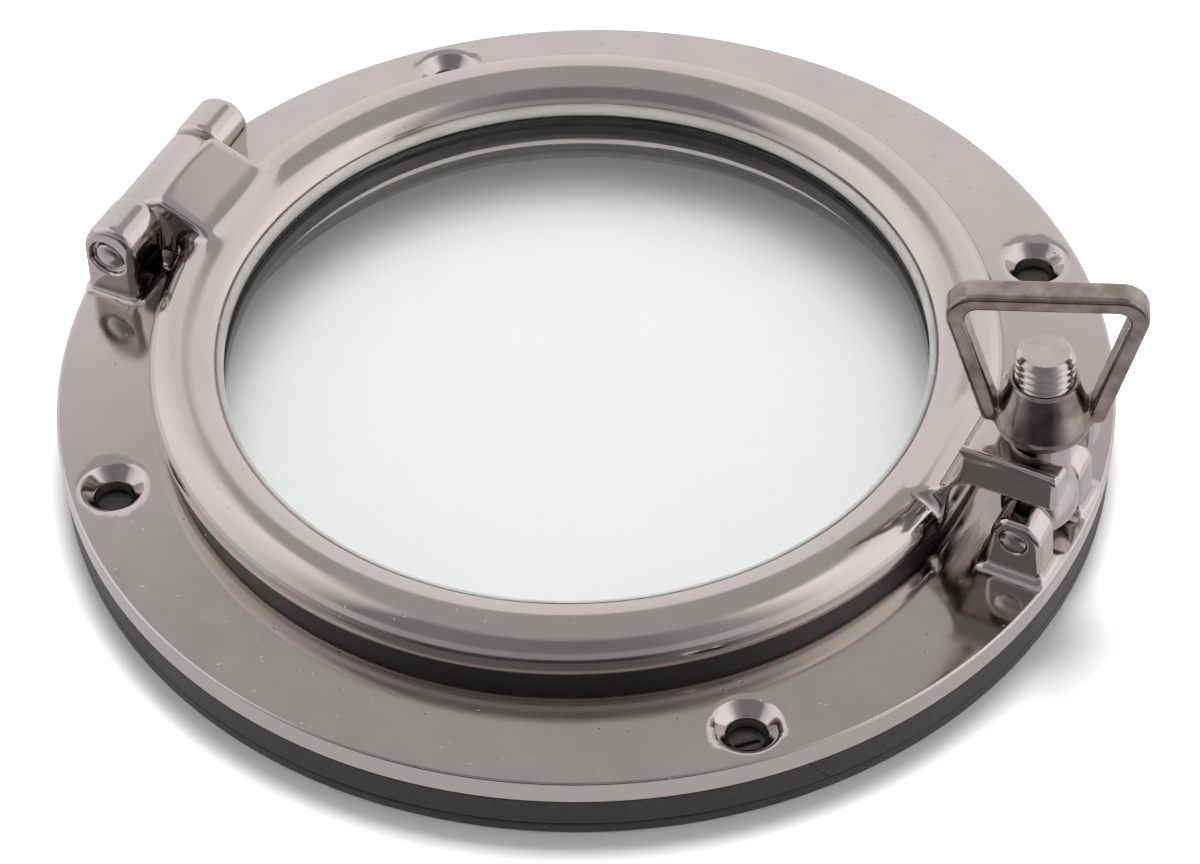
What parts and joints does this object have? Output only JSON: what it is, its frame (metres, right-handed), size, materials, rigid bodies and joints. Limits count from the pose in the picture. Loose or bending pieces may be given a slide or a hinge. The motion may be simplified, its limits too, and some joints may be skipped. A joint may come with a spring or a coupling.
{
  "type": "opening porthole window",
  "caption": "Round metal porthole with a flange frame on rubber gaskets, a hinged glazed sash and a swing bolt with a bow nut that clamps it shut.",
  "frame": {"origin": "centre of the ring on the mounting plane, the underside of the backing gasket", "axes": "+Z out of the wall towards the room side, -X towards the hinge, +X towards the swing bolt clamp, Y parallel to both pins"},
  "size_m": [0.234, 0.225, 0.0828],
  "materials": {
    "polished_casting": "mirror-polished cast stainless steel",
    "plain_steel": "plain stainless steel",
    "turned_steel": "turned and threaded stainless steel",
    "satin_steel": "tumbled satin stainless steel",
    "gasket_rubber": "matt black sheet rubber",
    "seal_rubber": "soft black rubber",
    "clear_glass": "clear toughened glass"
  },
  "bodies": {
    "frame": {"base_frame": "polished_casting", "flange_gasket": "gasket_rubber", "backing_gasket": "gasket_rubber", "hinge_pin": "plain_steel", "latch_pin": "plain_steel"},
    "sash": {"sash_ring": "polished_casting", "glass_pane": "clear_glass", "glazing_seal": "seal_rubber", "retaining_ring": "plain_steel", "sash_seal": "seal_rubber"},
    "bolt": {"swing_bolt": "turned_steel"},
    "nut": {"bow_nut": "satin_steel"}
  },
  "joints": [
    {"name": "sash_hinge", "type": "hinge", "parent": "frame", "child": "sash", "pos_m": [-0.1034, 0, 0.0266], "axis": [0, -1, 0], "range_deg": [0, 180]},
    {"name": "bolt_swing", "type": "hinge", "parent": "frame", "child": "bolt", "pos_m": [0.1037, 0, 0.0253], "axis": [0, 1, 0], "range_deg": [0, 92]},
    {"name": "nut_turn", "type": "hinge", "parent": "bolt", "child": "nut", "pos_m": [0.1037, 0, 0.0253], "axis": [-0.0351, 0, 0.9994], "continuous": true}
  ]
}
